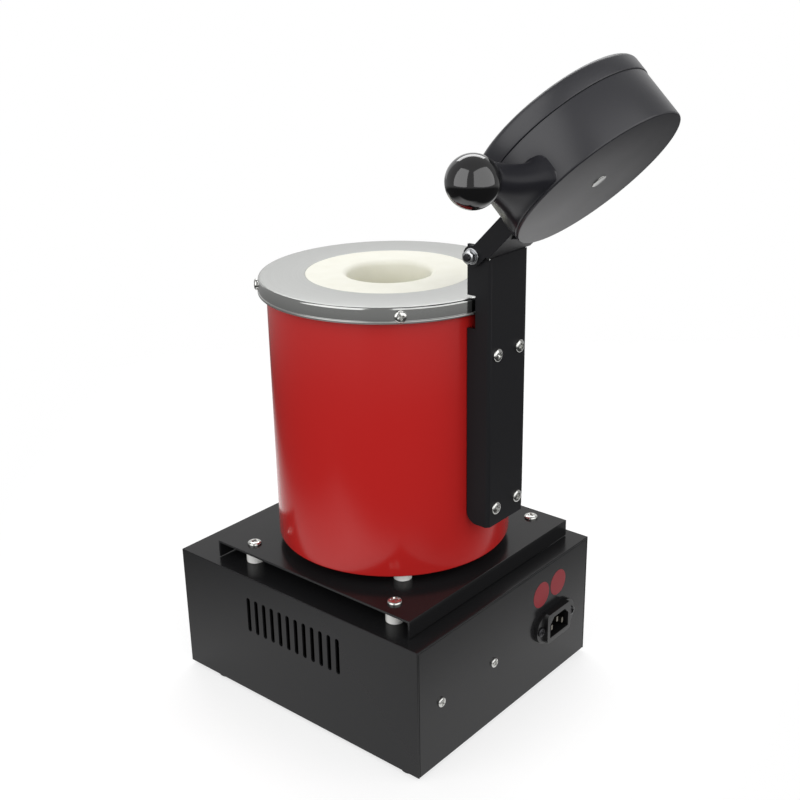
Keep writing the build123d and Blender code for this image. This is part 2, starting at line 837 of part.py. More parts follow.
def make_hinge_column():
    """Upright channel. Its sides reach the shell, step round the ring and end in ears for the hinge."""
    side_outline = box_between(
        (-column_half_width, column_edge_y, column_bottom_height),
        (column_half_width, column_web_y, column_top),
    )
    lower_edges = side_outline.edges().filter_by(Axis.X).group_by(Axis.Z)[0].sort_by(Axis.Y)[0]
    column = fillet(lower_edges, column_corner_radius)
    inside = box_between(
        (-column_inner, column_edge_y - 1, column_bottom_height - 1),
        (column_inner, column_web_y - column_sheet, column_top + 1),
    )
    column -= inside
    top_cut = box_between(
        (-column_half_width - 1, hinge_y, column_web_top),
        (column_half_width + 1, column_web_y + 1, column_top + 1),
    )
    ear = Pos(0, hinge_y, hinge_z) * Rot(0, 90, 0) * Cylinder(column_ear_radius, 4 * column_half_width)
    column -= top_cut - ear
    column -= box_between(
        (-column_half_width - 1, column_edge_y - 1, ring_top - ring_skirt - ring_notch_below),
        (column_half_width + 1, ring_notch_y, ring_top + ring_notch_above),
    )
    hinge_hole = Pos(0, hinge_y, hinge_z) * Rot(0, 90, 0) * Cylinder(
        bolt_radius + running_gap, 4 * column_half_width
    )
    column -= hinge_hole
    for x, z in column_screw_holes:
        column -= face_rear(x, column_web_y, z) * rod(screw_hole, -column_sheet - 1, 1)
    return column


def make_column_spacers():
    """Tubes between the column's web and the shell, their ends shaped to the shell."""
    front = axis_y + shell_radius - 3.0
    sleeves = []
    for x, z in column_screw_holes:
        length = column_web_y - column_sheet - front
        sleeve = face_front(x, column_web_y - column_sheet, z) * tube(column_sleeve_radius, screw_hole, 0, length)
        sleeve -= body_axis * rod(shell_radius + seat_gap / 2, z - 10, z + 10)
        sleeves.append(sleeve)
    return sleeves


def make_column_screws():
    """Screws through the web, the spacer tubes and the shell."""
    x = column_screw_pitch_x / 2
    wall = math.sqrt((shell_radius - shell_sheet) ** 2 - x ** 2) + axis_y
    length = column_web_y - wall + nut_height + screw_end
    screw = pan_screw(column_head_radius, column_head_height, screw_radius, length)
    return [face_rear(x, column_web_y, z) * screw for x, z in column_screw_holes]


def make_column_nuts():
    """Nuts inside the shell."""
    nuts = []
    for x, z in column_screw_holes:
        reach = abs(x) + nut_flats * 0.58
        wall = math.sqrt((shell_radius - shell_sheet) ** 2 - reach ** 2) + axis_y
        nuts.append(face_front(x, wall - seat_gap / 2, z) * hex_nut(nut_flats, nut_height, screw_radius))
    return nuts


def make_hinge_bolt():
    """Hexagon bolt through both ears of the column and both sides of the arm, its head at -X."""
    start = -(arm_outer + slip + washer_sheet)
    end = -start + bolt_nut_height + bolt_end
    head = extrude(RegularPolygon(bolt_hex_flats / 2, 6, major_radius=False), -bolt_head_height)
    return hinge_place * (rod(bolt_radius, start, end) + Pos(0, 0, start) * head)


def make_hinge_nut():
    """The nut at the bolt's free end."""
    nut = hex_nut(bolt_hex_flats, bolt_nut_height, bolt_radius)
    return hinge_place * Pos(0, 0, arm_outer + slip + washer_sheet) * nut


def make_hinge_washers():
    """Washers under the head and the nut, and one between each ear and the arm."""
    washers = []
    for side in (-1, 1):
        for low, sheet in (
            (arm_outer + slip, washer_sheet),
            (column_half_width + slip, arm_side_gap - 2 * slip),
        ):
            washer = tube(washer_radius, bolt_radius + running_gap, 0, sheet)
            washers.append(hinge_place * Pos(0, 0, low if side > 0 else -low - sheet) * washer)
    return washers


# Lid, drawn shut over the furnace and then swung open about the hinge
lid_top = hinge_z + lid_top_above_hinge
lid_bottom = lid_top - lid_thickness
lid_seam = lid_top - lid_shell_depth
tongue_top = lid_top - lid_sheet - slip
lid_inner_radius = lid_radius - lid_sheet
rim_outer_radius = lid_radius + lid_rim_overhang
rim_inner_radius = rim_outer_radius - lid_rim_wall
knob_z = lid_top - knob_below_top
knob_flat_x = knob_reach - math.sqrt(knob_radius ** 2 - knob_flat_radius ** 2)


def swing_open(shape):
    """The closed lid's piece swung back to where the lid rests open."""
    return shape.rotate(hinge_axis, -lid_open_angle)


def tongue_shape(room):
    """The arm's flat tongue from the rim to the lid's middle, with room to spare round it."""
    low = hinge_z + arm_web_height - arm_sheet - room
    rise_start = axis_y + lid_radius + arm_rise_outside_lid
    rise_end = rise_start - arm_rise_length
    end = axis_y - arm_tongue_past_middle - room
    outline = Polygon(
        (rise_start, low),
        (rise_start, low + arm_sheet + 2 * room),
        (rise_end, tongue_top + room),
        (end, tongue_top + room),
        (end, tongue_top - arm_sheet - room),
        (rise_end, tongue_top - arm_sheet - room),
        align=None,
    )
    face = Plane(origin=(0, 0, 0), x_dir=(0, 1, 0), z_dir=(1, 0, 0)) * outline
    return extrude(face, arm_tongue_half_width + room, both=True)


def make_lid_arm():
    """Channel from the hinge to the rim, with a stop tab at its start and a tongue into the lid."""
    low = hinge_z - arm_lower_edge
    high = hinge_z + arm_web_height
    web_low = high - arm_sheet
    arm = None
    for side in (-1, 1):
        side_x = (side * arm_inner, side * arm_outer)
        plate = box_between(
            (min(side_x), axis_y, low), (max(side_x), hinge_y, high)
        )
        end = Pos(side * (arm_inner + arm_outer) / 2, hinge_y, hinge_z) * Rot(0, 90, 0) * Cylinder(
            arm_end_radius, arm_sheet
        )
        arm = plate + end if arm is None else arm + plate + end
    arm += box_between(
        (-arm_outer, axis_y, web_low), (arm_outer, hinge_y - arm_web_start, high)
    )
    arm -= box_between(
        (-arm_outer - 1, hinge_y - arm_web_start, web_low), (arm_outer + 1, rear_y, high + 1)
    )
    arm += box_between(
        (-arm_stop_half_width, hinge_y - arm_web_start - 1, web_low),
        (arm_stop_half_width, hinge_y - arm_stop_start, high),
    )
    arm -= body_axis * rod(lid_radius + seat_gap, low - 1, high + 1)
    arm += tongue_shape(0)
    arm -= Pos(0, hinge_y, hinge_z) * Rot(0, 90, 0) * Cylinder(bolt_radius + running_gap, 4 * arm_outer)
    arm -= body_axis * rod(lid_screw_radius + hole_clearance, tongue_top - 2 * arm_sheet, tongue_top + 1)
    return swing_open(arm)


def horn_section(reach, width, height, corner, shift, drop):
    """One rounded cross-section of the horn, at a distance from the lid's middle."""
    place = Plane(origin=(reach, axis_y + shift, lid_top - drop), x_dir=(0, 1, 0), z_dir=(1, 0, 0))
    return place * RectangleRounded(width, height, corner)


def make_lid_shell():
    """Cup-shaped cover of the lid with the horn that carries the knob, moulded as one."""
    root_reach = lid_radius * horn_root_share
    waist_reach = (lid_radius + knob_flat_x) / 2 - horn_waist_back
    neck = 2 * horn_neck_radius
    neck_corner = horn_neck_radius - horn_neck_flat / 2
    horn = loft(
        [
            horn_section(
                root_reach,
                horn_root_width,
                horn_root_height,
                horn_root_corner,
                horn_root_shift,
                horn_root_below_top,
            ),
            horn_section(
                waist_reach,
                horn_waist_width,
                horn_waist_height,
                horn_waist_corner,
                horn_waist_shift,
                horn_waist_below_top,
            ),
            horn_section(knob_flat_x, neck, neck, neck_corner, 0.0, knob_below_top),
        ]
    )
    shell = body_axis * rod(lid_radius, lid_seam, lid_top) + horn
    shell -= body_axis * rod(lid_inner_radius, lid_seam - 1, lid_top - lid_sheet)
    shell -= body_axis * rod(lid_screw_radius + hole_clearance, lid_top - 2 * lid_sheet, lid_top + 1)
    shell -= Pos(0, axis_y, knob_z) * Rot(0, 90, 0) * rod(
        knob_stud_radius + slip, knob_flat_x - knob_stud_bite - slip, knob_flat_x + 1
    )
    shell -= tongue_shape(seat_gap)
    return swing_open(shell)


def make_lid_rim():
    """Ring under the shell, a little wider than it, with a spigot up inside it."""
    rim = rod(rim_outer_radius, lid_bottom, lid_seam)
    rim = fillet(rim.edges().group_by(Axis.Z)[0], lid_rim_round)
    rim += rod(lid_inner_radius - slip, lid_seam, lid_seam + rim_spigot)
    rim -= rod(rim_inner_radius, lid_bottom - 1, lid_seam + rim_spigot + 1)
    return swing_open(body_axis * rim)


def make_lid_insulation():
    """Fibre plug: its shoulder rests on the rim's spigot and its face is flush with the rim."""
    shoulder = lid_seam + rim_spigot
    plug = rod(rim_inner_radius - slip, lid_bottom, shoulder + 1)
    plug += rod(lid_inner_radius - seat_gap, shoulder, tongue_top - arm_sheet - slip)
    plug = body_axis * plug - tongue_shape(2 * seat_gap)
    plug -= body_axis * rod(
        nut_flats * 0.8, tongue_top - arm_sheet - bolt_nut_height - 1.5, tongue_top
    )
    return swing_open(plug)


def make_lid_screw():
    """Broad low-headed screw in the middle of the lid."""
    length = lid_sheet + slip + arm_sheet + bolt_nut_height + screw_end / 2
    screw = pan_screw(lid_screw_head_radius, lid_screw_head_height, lid_screw_radius, length)
    return swing_open(Pos(0, axis_y, lid_top) * screw)


def make_lid_nut():
    """The nut of the lid's screw, under the arm's tongue."""
    nut = hex_nut(bolt_hex_flats, bolt_nut_height, lid_screw_radius)
    return swing_open(Pos(0, axis_y, tongue_top - arm_sheet - bolt_nut_height) * nut)


def make_knob_stud():
    """Stud between the horn and the knob."""
    stud = rod(knob_stud_radius, knob_flat_x - knob_stud_bite, knob_flat_x + knob_stud_bite)
    return swing_open(Pos(0, axis_y, knob_z) * Rot(0, 90, 0) * stud)


def make_ball_knob():
    """Ball knob with a flat at the horn and a blind hole for the stud."""
    ball = Pos(0, 0, knob_reach) * Sphere(knob_radius)
    ball -= rod(knob_radius, knob_flat_x - 2 * knob_radius, knob_flat_x)
    ball -= rod(knob_stud_radius + slip, knob_flat_x - 1, knob_flat_x + knob_stud_bite + slip)
    return swing_open(Pos(0, axis_y, knob_z) * Rot(0, 90, 0) * ball)


os.makedirs("parts", exist_ok=True)

save("base_tray", make_base_tray())
save("base_cover", make_base_cover())
save("rubber_feet", *make_feet())
save("foot_screws", *make_foot_screws())
save("foot_nuts", *make_foot_nuts())
save("power_inlet", make_power_inlet())
save("inlet_pins", *make_inlet_pins())
save("inlet_screws", *make_inlet_screws())
save("inlet_nuts", *make_inlet_nuts())
save("round_stickers", *make_stickers())
save("heat_sink", make_heat_sink())
save("solid_state_relay", make_relay())
save("rear_panel_screws", *make_rear_panel_screws())
save("terminal_block", make_terminal_block())
save("controller_housing", make_controller_housing())
save("controller_window", make_controller_window())
save("controller_clamp", make_controller_clamp())
for name, x in zip(key_names, key_places):
    save(name, make_key(x))
save("switch_housing", make_switch_housing())
save("switch_rocker", make_switch_rocker())
save("raised_plate", make_raised_plate())
save("plate_spacers", *make_plate_spacers())
save("plate_screws", *make_plate_screws())
save("plate_nuts", *make_plate_nuts())
save("body_spacers", *make_body_spacers())
save("body_screws", *make_body_screws())
save("body_nuts", *make_body_nuts())
save("furnace_shell", make_furnace_shell())
save("top_ring", make_top_ring())
save("ring_spacers", *make_ring_spacers())
save("ring_screws", *make_ring_screws())
save("refractory_collar", make_refractory_collar())
save("fibre_insulation", make_fibre_insulation())
save("heating_muffle", make_heating_muffle())
save("heating_coil", make_heating_coil())
save("thermocouple", make_thermocouple())
save("hinge_column", make_hinge_column())
save("column_spacers", *make_column_spacers())
save("column_screws", *make_column_screws())
save("column_nuts", *make_column_nuts())
save("hinge_bolt", make_hinge_bolt())
save("hinge_nut", make_hinge_nut())
save("hinge_washers", *make_hinge_washers())
save("lid_arm", make_lid_arm())
save("lid_shell", make_lid_shell())
save("lid_rim", make_lid_rim())
save("lid_insulation", make_lid_insulation())
save("lid_screw", make_lid_screw())
save("lid_nut", make_lid_nut())
save("knob_stud", make_knob_stud())
save("ball_knob", make_ball_knob())
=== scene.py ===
import bmesh
import bpy
import math
import numpy as np
from mathutils import Matrix, Vector


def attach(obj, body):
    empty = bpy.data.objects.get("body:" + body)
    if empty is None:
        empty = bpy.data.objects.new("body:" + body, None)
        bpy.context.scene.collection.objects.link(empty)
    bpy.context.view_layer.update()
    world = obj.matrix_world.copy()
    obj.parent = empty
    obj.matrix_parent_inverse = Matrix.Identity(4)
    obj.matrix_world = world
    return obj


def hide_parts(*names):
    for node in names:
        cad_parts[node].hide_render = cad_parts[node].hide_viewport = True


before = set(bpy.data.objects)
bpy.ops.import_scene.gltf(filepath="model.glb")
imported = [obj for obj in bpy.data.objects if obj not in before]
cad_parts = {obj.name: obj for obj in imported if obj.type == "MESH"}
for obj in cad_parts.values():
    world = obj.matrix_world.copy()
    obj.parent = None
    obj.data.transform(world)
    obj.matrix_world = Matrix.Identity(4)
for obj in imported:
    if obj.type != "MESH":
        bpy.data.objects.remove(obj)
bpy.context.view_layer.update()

# Camera: it stands off a rear corner of the base, between a vented side and the side with the mains inlet,
# a little above the furnace. Lens and place were measured from the base's edges and the round rims.
camera_place = np.array((0.6056, 0.5332, 0.5249))
camera_turn, camera_dip, camera_roll = np.radians((40.452, 20.904, -1.067))
ahead = -np.array(
    (
        math.cos(camera_dip) * math.cos(camera_turn),
        math.cos(camera_dip) * math.sin(camera_turn),
        math.sin(camera_dip),
    )
)
level = np.cross(ahead, (0.0, 0.0, 1.0))
level /= np.linalg.norm(level)
above = np.cross(level, ahead)
camera_right = math.cos(camera_roll) * level + math.sin(camera_roll) * above
camera_up = math.cos(camera_roll) * above - math.sin(camera_roll) * level
camera_axes = np.column_stack((camera_right, camera_up, -ahead, camera_place))
camera_data = bpy.data.cameras.new("photo_camera")
camera_data.sensor_width = 36.0
camera_data.lens = 53.55
camera = bpy.data.objects.new("photo_camera", camera_data)
camera.matrix_world = Matrix(camera_axes.tolist() + [[0, 0, 0, 1]])
bpy.context.scene.collection.objects.link(camera)
bpy.context.scene.camera = camera
bpy.context.scene.view_settings.view_transform = "Standard"


# Floor and studio: a white card for a table top, in a pale room that is darker below. Two tall softboxes
# stand to both sides of the camera and show as bands on the drum and the ball knob. Behind the furnace
# are a lit wall and a strip of light under the ceiling.
def linear(hex_colour):
    """sRGB hex to linear light: a straight line near black, a 2.4 power above it."""
    share = np.array([int(hex_colour[i:i + 2], 16) / 255 for i in (1, 3, 5)])
    return (*np.where(share <= 0.04045, share / 12.92, ((share + 0.055) / 1.055) ** 2.4), 1.0)


def material(name, **sockets):
    """A named material; sockets are the values of its Principled shader, with _ for a space."""
    made = bpy.data.materials.new(name)
    made.use_nodes = True
    for socket, value in sockets.items():
        made.node_tree.nodes["Principled BSDF"].inputs[socket.replace("_", " ")].default_value = value
    return made


def add(tree, kind, sockets, **settings):
    """One node with its settings; a socket's value is a number, a colour or another node's output."""
    made = tree.nodes.new(kind)
    for name, value in settings.items():
        setattr(made, name, value)
    for socket, value in sockets.items():
        if isinstance(value, bpy.types.NodeSocket):
            tree.links.new(value, made.inputs[socket])
        else:
            made.inputs[socket].default_value = value
    return made


def feed(made, socket, output):
    """Leads a node's output to a socket of the material's Principled shader."""
    made.node_tree.links.new(output, made.node_tree.nodes["Principled BSDF"].inputs[socket])


# Points closer together than this, in metres, are one point.
weld = 2e-6


def shown(name, data, crease):
    """The mesh as an object, smooth but for the edges that turn by more than crease, in degrees."""
    data.polygons.foreach_set("use_smooth", [True] * len(data.polygons))
    data.set_sharp_from_angle(angle=math.radians(crease))
    made = bpy.data.objects.new(name, data)
    bpy.context.scene.collection.objects.link(made)
    return made


def mesh_from(name, *grids, finish):
    """One closed mesh from grids of points in mm (rows, columns, xyz). Each cell of a grid is a quad."""
    points, faces, start = [], [], 0
    for grid in grids:
        rows, columns = grid.shape[:2]
        index = start + np.arange(rows * columns).reshape(rows, columns)
        cell = np.stack((index[:-1, :-1], index[:-1, 1:], index[1:, 1:], index[1:, :-1]), -1)
        points.append(grid.reshape(-1, 3))
        faces.append(cell.reshape(-1, 4))
        start += rows * columns
    data = bpy.data.meshes.new(name)
    data.from_pydata((np.concatenate(points) / 1000).tolist(), [], np.concatenate(faces).tolist())
    shape = bmesh.new()
    shape.from_mesh(data)
    bmesh.ops.remove_doubles(shape, verts=shape.verts, dist=weld)
    bmesh.ops.recalc_face_normals(shape, faces=shape.faces)
    shape.to_mesh(data)
    shape.free()
    data.materials.append(finish)
    return shown(name, data, 35)


# The camera's direction along the floor, and the floor's point under the middle of the drum.
flat_ahead = np.array((ahead[0], ahead[1], 0)) / np.hypot(ahead[0], ahead[1])
middle = np.array((0.0, 0.009, 0.0))

# Matt white card, lit until it's pure white. Its edges are in mm from the middle, and its right edge runs
# outwards by card_slant. It ends short of the camera and fades out all round, so the upper drum and the
# steel skirt mirror the room's own shade.
card = material(
    "white_card", Base_Color=linear("#a6a6a6"), Roughness=0.95, Specular_IOR_Level=0.0,
    Emission_Color=linear("#ffffff"), Emission_Strength=0.66,
)
card_front, card_back, card_left, card_right, card_slant = -330.0, 800.0, -400.0, 330.0, 0.65
front_fade, back_fade, left_fade, right_fade = 60.0, 450.0, 220.0, 150.0
card_steps, card_drop = 60, 0.1
card_run = np.linspace(card_front, card_back, card_steps)[:, None, None]
card_side = np.linspace(card_left, card_right + card_slant * card_back, card_steps)[None, :, None]
card_points = 1000 * middle + card_run * flat_ahead + card_side * level - (0, 0, card_drop)
floor = mesh_from("floor", card_points, finish=card)
card_fade = (
    np.clip((card_run - card_front) / front_fade, 0, 1)
    * np.clip((card_back - card_run) / back_fade, 0, 1)
    * np.clip((card_side - card_left) / left_fade, 0, 1)
    * np.clip((card_right + card_slant * card_run - card_side) / right_fade, 0, 1)
)
floor.data.attributes.new("fade", "FLOAT", "POINT").data.foreach_set("value", card_fade.ravel())
fade = add(card.node_tree, "ShaderNodeAttribute", {}, attribute_name="fade")
feed(card, "Alpha", fade.outputs["Fac"])


def softbox(name, turn, distance, low, high, width, bright, tilt=0.0):
    """A tall panel of light that faces the furnace, in metres and degrees. Turn 0 is towards the camera,
    and positive goes to the camera's right. Its power is pi times its area times its radiance, bright."""
    angle = math.radians(turn)
    out = level * math.sin(angle) - flat_ahead * math.cos(angle)
    data = bpy.data.lights.new(name, "AREA")
    data.shape = "RECTANGLE"
    data.size, data.size_y = width, high - low
    data.energy = math.pi * width * (high - low) * bright
    light = bpy.data.objects.new(name, data)
    face = Vector(-out * math.cos(math.radians(tilt)) - np.array((0, 0, math.sin(math.radians(tilt)))))
    light.location = middle + distance * out + (0, 0, (low + high) / 2)
    light.rotation_euler = face.to_track_quat("-Z", "Y").to_euler()
    light.visible_camera = False
    bpy.context.scene.collection.objects.link(light)


softbox("left_softbox", turn=-49, distance=1.1, low=0.2, high=1.9, width=1.15, bright=1.8)
softbox("right_softbox", turn=45, distance=1.1, low=0.2, high=1.9, width=2.0, bright=1.45)
softbox("back_wall", turn=180, distance=1.6, low=0.25, high=2.0, width=3.2, bright=0.45)
softbox("ceiling_strip", turn=180, distance=0.95, low=1.1, high=1.6, width=1.4, bright=4.0, tilt=52)

# The room: pure white where the camera looks past the card, and for all else a grey that turns darker where
# the direction falls steeply. A Mix node's socket 0 is the factor, 2 and 3 are the two numbers it mixes.
world = bpy.data.worlds.new("studio")
world.use_nodes = True
bpy.context.scene.world = world
room = world.node_tree
way = add(room, "ShaderNodeTexCoord", {}).outputs["Generated"]
rise = add(room, "ShaderNodeSeparateXYZ", {"Vector": way}).outputs["Z"]
shade = add(
    room, "ShaderNodeMapRange",
    {"Value": rise, "From Min": -0.32, "From Max": -0.22, "To Min": 0.06, "To Max": 0.42},
)
seen = add(room, "ShaderNodeLightPath", {}).outputs["Is Camera Ray"]
pick = add(room, "ShaderNodeMix", {0: seen, 2: shade.outputs["Result"], 3: 1.0})
room.links.new(pick.outputs[0], room.nodes["Background"].inputs["Strength"])
room.nodes["Background"].inputs["Color"].default_value = (1, 1, 1, 1)


# Control base: a tray that carries the front and rear panels, and a cover with the top and both vented
# sides, both folded from 1.5 mm sheet steel and baked in semi-gloss black. Screws in the feet join them.
def place_on(made, body, node):
    """The piece rides on its body and stands for its CAD node, which is hidden."""
    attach(made, body)
    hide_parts(node)
    return made


round_edge = {"offset_type": "OFFSET", "profile": 0.5, "affect": "EDGES"}


def eased(name, node, finish, width, least, body="furnace", fold=0.0, fold_at=(0.0, 0.0)):
    """The CAD node's own faces, merged, with the sharp edges longer than least (mm) rounded by width (mm).
    The upright edges at fold_at, (x, y) to both sides in mm, are folds of the radius fold. It stands for
    the node in its finish, and weighted normals keep its flat faces flat."""
    shape = bmesh.new()
    shape.from_mesh(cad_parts[node].data)
    bmesh.ops.remove_doubles(shape, verts=shape.verts, dist=weld)
    bmesh.ops.dissolve_limit(shape, angle_limit=math.radians(1), verts=shape.verts, edges=shape.edges)
    if fold:
        at_fold = {
            corner for corner in shape.verts
            if math.hypot(abs(corner.co.x) * 1000 - fold_at[0], corner.co.y * 1000 - fold_at[1]) < 0.1
        }
        upright = [
            edge for edge in shape.edges
            if at_fold.issuperset(edge.verts) and edge.verts[0].co.x * edge.verts[1].co.x > 0
        ]
        bmesh.ops.bevel(shape, geom=upright, offset=fold / 1000, segments=8, **round_edge)
    sharp_turn = 0.6
    sharp = [
        edge for edge in shape.edges
        if edge.is_manifold and edge.calc_face_angle() > sharp_turn and edge.calc_length() > least / 1000
    ]
    bmesh.ops.bevel(shape, geom=sharp, offset=width / 1000, segments=3, clamp_overlap=True, **round_edge)
    data = bpy.data.meshes.new(name)
    shape.to_mesh(data)
    shape.free()
    data.materials.append(finish)
    made = shown(name, data, 40)
    weigh = made.modifiers.new("flat_faces", "WEIGHTED_NORMAL")
    weigh.keep_sharp = True
    return place_on(made, body, node)


def grained(made, grain_mm, depth_mm, detail=2.0, strength=1.0):
    """Gives a material a fine mottled relief: noise with grains of grain_mm that stand depth_mm high."""
    tree = made.node_tree
    place = add(tree, "ShaderNodeTexCoord", {}).outputs["Object"]
    grain = add(tree, "ShaderNodeTexNoise", {"Vector": place, "Scale": 1000 / grain_mm, "Detail": detail})
    relief = add(
        tree, "ShaderNodeBump",
        {"Height": grain.outputs["Fac"], "Distance": depth_mm / 1000, "Strength": strength},
    )
    feed(made, "Normal", relief.outputs["Normal"])


def clouded(made, cloud_mm, smooth, rough):
    """Lets a material's roughness drift from smooth to rough in clouds of cloud_mm."""
    tree = made.node_tree
    place = add(tree, "ShaderNodeTexCoord", {}).outputs["Object"]
    cloud = add(tree, "ShaderNodeTexNoise", {"Vector": place, "Scale": 1000 / cloud_mm, "Detail": 3.0})
    gloss = add(
        tree, "ShaderNodeMapRange", {"Value": cloud.outputs["Fac"], "To Min": smooth, "To Max": rough}
    )
    feed(made, "Roughness", gloss.outputs["Result"])


def painted(name, colour, rough, peel_mm, peel_depth_mm, specular):
    """Sprayed and baked paint: the skin of an orange peel and a slow change of gloss over a panel."""
    made = material(name, Base_Color=linear(colour), Specular_IOR_Level=specular)
    clouded(made, 45, rough - 0.05, rough + 0.05)
    grained(made, peel_mm, peel_depth_mm, detail=1.0)
    return made


# Semi-gloss baked black: a near-black skin that mirrors the room softly. The real peel is under 1 mm
# across and too fine to show, so every paint here has it drawn at 2 to 3 mm.
black_paint = painted("baked_black_enamel", "#1b1b1c", 0.2, 2.5, 0.008, specular=0.2)
for node in ("base_cover", "base_tray"):
    eased(node + "_sheet", node, black_paint, width=0.5, least=30.0)


# Feet: four low discs moulded in black rubber, with a recess below for a screw's head. The screw runs up
# through the tray and the cover's lip, so it holds the foot and both sheets.
def turned(outline, steps=72, centre=(0.0, 0.0)):
    """An outline of (radius, height) carried once round the upright axis through centre."""
    outline = np.asarray(outline, float)
    angle = np.linspace(0, 2 * np.pi, steps + 1)
    x = centre[0] + outline[:, :1] * np.cos(angle)
    y = centre[1] + outline[:, :1] * np.sin(angle)
    z = np.repeat(outline[:, 1:], steps + 1, axis=1)
    return np.stack((x, y, z), -1)


def rounded(corners, radii, steps=5, closed=False):
    """A line through corners with each corner turned to an arc: both tangent points lie radius / tan(half
    the corner's angle) from it, and the arc between them is swept about the centre in equal turns."""
    point = np.asarray(corners, float)
    radius = np.broadcast_to(np.asarray(radii, float), len(point)).copy()
    if not closed:
        radius[[0, -1]] = 0
    back = np.roll(point, 1, 0) - point
    onward = np.roll(point, -1, 0) - point
    back /= np.linalg.norm(back, axis=1, keepdims=True)
    onward /= np.linalg.norm(onward, axis=1, keepdims=True)
    half = np.arccos(np.clip((back * onward).sum(1), -0.9999, 0.9999)) / 2
    bisector = back + onward
    bisector /= np.maximum(np.linalg.norm(bisector, axis=1, keepdims=True), 1e-9)
    centre = point + bisector * (radius / np.sin(half))[:, None]
    first = point + back * (radius / np.tan(half))[:, None] - centre
    last = point + onward * (radius / np.tan(half))[:, None] - centre
    sweep = (np.pi - 2 * half)[:, None, None]
    share = np.linspace(0, 1, steps + 1)[None, :, None]
    from_first = np.sin((1 - share) * sweep) * first[:, None]
    from_last = np.sin(share * sweep) * last[:, None]
    line = (centre[:, None] + (from_first + from_last) / np.sin(sweep)).reshape(-1, 2)
    return np.concatenate((line, line[:1])) if closed else line


# Black rubber: matt, with the faint mottle of a mould's blasted face.
rubber = material("moulded_rubber", Base_Color=linear("#161616"), Roughness=0.75)
grained(rubber, 0.8, 0.04)
foot_radius, foot_height, foot_bore = 8.0, 3.0, 2.25
recess_radius, recess_depth = 3.85, 1.8
foot_places = [(x, y) for x in (-93.0, 93.0) for y in (-83.0, 101.0)]
foot_outline = rounded(
    ((foot_bore, recess_depth), (recess_radius, recess_depth), (recess_radius, 0.0), (foot_radius, 0.0),
     (foot_radius, foot_height), (foot_bore, foot_height)),
    (0, 0, 0.4, 0.8, 0.2, 0), closed=True,
)
feet = mesh_from("feet", *[turned(foot_outline, centre=place) for place in foot_places], finish=rubber)
place_on(feet, "furnace", "rubber_feet")


# Screws: nickel-plated steel with low domed heads and a cross recess, as sold by the box. Those of the
# feet, inlet, rear panel, plate, body, ring and column have this form, each in its own size, and only the
# inlet's are black.
def screw_grid(head_radius, head_height, length, turn):
    """Grid over turn and run. The head's top is r = R sin(t)^0.8, z = h cos(t)^0.55; inside a cross whose
    arms taper outwards it drops by a depth that fades to the arm's end. Then rim, underside and shank."""
    shank_radius, tip = 2.0, 0.5
    angle = np.linspace(0, 2 * np.pi, 97)
    run = np.linspace(0, np.pi / 2, 30)
    radius = head_radius * np.sin(run) ** 0.8
    height = head_height * np.cos(run).clip(0) ** 0.55
    x = radius[:, None] * np.cos(angle)
    y = radius[:, None] * np.sin(angle)
    along = np.maximum(np.abs(x), np.abs(y))
    across = np.minimum(np.abs(x), np.abs(y))
    reach = 0.56 * head_radius
    edge = 0.035 * head_radius
    half_width = head_radius * (0.17 - 0.05 * along / reach)
    inside = np.clip((half_width - across) / edge + 0.5, 0, 1) * np.clip((reach - along) / edge, 0, 1)
    z = height[:, None] - inside * 0.85 * head_height * (1 - 0.6 * along / reach)
    top = np.stack((x, y, z), -1)
    tail = turned(
        ((head_radius, 0), (shank_radius, 0), (shank_radius, -length + tip), (shank_radius - tip, -length),
         (0, -length)),
        96,
    )
    spin = np.array(((math.cos(turn), math.sin(turn), 0), (-math.sin(turn), math.cos(turn), 0), (0, 0, 1)))
    return np.concatenate((top, tail)) @ spin


EAST, NORTH, UP = np.eye(3)


def aimed(grid, origin, up, across):
    """The grid moved to origin with its own z along up and its own x along across."""
    up = np.asarray(up, float)
    across = np.asarray(across, float)
    beside = np.cross(up, across)
    return grid[..., :1] * across + grid[..., 1:2] * beside + grid[..., 2:] * up + np.asarray(origin, float)


# Bright nickel: mirror-like, a shade warm, with the faint drag of tumbling on it.
nickel = material("bright_nickel_plate", Base_Color=linear("#c8c8c5"), Metallic=1.0)
clouded(nickel, 1.5, 0.06, 0.24)


def screws(name, node, head, length, places, finish=nickel):
    """All screws of one size. Head is its radius and height; places holds each seat's point, its outward
    direction and a direction across. Each recess is turned on from the last, as screws end up."""
    grids = [
        aimed(screw_grid(*head, length, 0.35 + 0.7 * i), *place)
        for i, place in enumerate(places)
    ]
    return place_on(mesh_from(name, *grids, finish=finish), "furnace", node)


foot_seats = [((x, y, recess_depth), -UP, EAST) for x, y in foot_places]
screws("foot_screw_set", "foot_screws", (3.6, 1.5), 8.5, foot_seats)


# Mains inlet: a black moulded plastic housing for the usual three-pin connector. Its eared flange is
# screwed to the rear panel, and its pins run out behind as tabs. No lead is plugged in.
rear_y = 115.0
inlet_x, inlet_z, inlet_flange, inlet_pitch = -56.8, 50.0, 3.0, 40.0

# Moulded black plastic: satin, with the fine even grain of an etched mould.
black_moulding = material("moulded_black_plastic", Base_Color=linear("#111112"), Roughness=0.36)
grained(black_moulding, 0.9, 0.01)
eased("mains_inlet", "power_inlet", black_moulding, width=0.5, least=3.0)

# Black oxide on steel: a thin dark bloom that still shines on the edges of the recess.
oxide = material("black_oxide_steel", Base_Color=linear("#3a3a3c"), Metallic=1.0, Roughness=0.3)
inlet_seats = [
    ((inlet_x + side * inlet_pitch / 2, rear_y + inlet_flange, inlet_z), NORTH, EAST) for side in (-1, 1)
]
screws("inlet_screw_set", "inlet_screws", (3.6, 2.0), 8.7, inlet_seats, finish=oxide)


